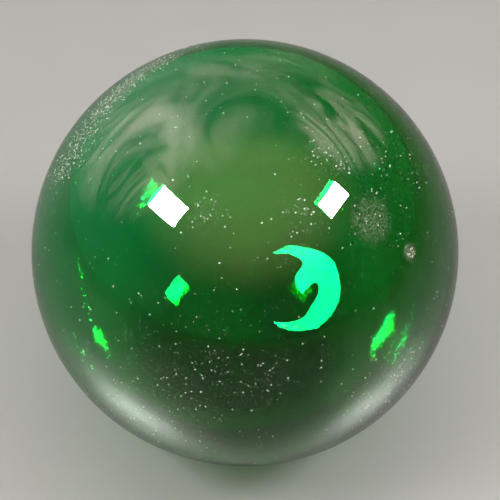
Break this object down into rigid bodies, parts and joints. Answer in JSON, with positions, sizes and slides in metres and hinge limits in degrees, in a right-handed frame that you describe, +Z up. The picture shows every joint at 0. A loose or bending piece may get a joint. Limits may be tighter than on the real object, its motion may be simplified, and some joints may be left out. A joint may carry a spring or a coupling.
{
  "type": "witch ball",
  "caption": "Mouth-blown ball of deep green glass with a small ground flat to rest on.",
  "frame": {"origin": "centre of the small ground flat on the underside, on the surface the ball rests on", "axes": "+Z up through the ball's centre; -Y faces the picture's camera, +X is to the right in the picture"},
  "size_m": [0.178, 0.178, 0.177],
  "materials": {
    "green_glass": "fire-polished gloss, deep emerald, see-through, with fine dust on the surface"
  },
  "bodies": {
    "root": {"glass_ball": "green_glass"}
  },
  "joints": []
}
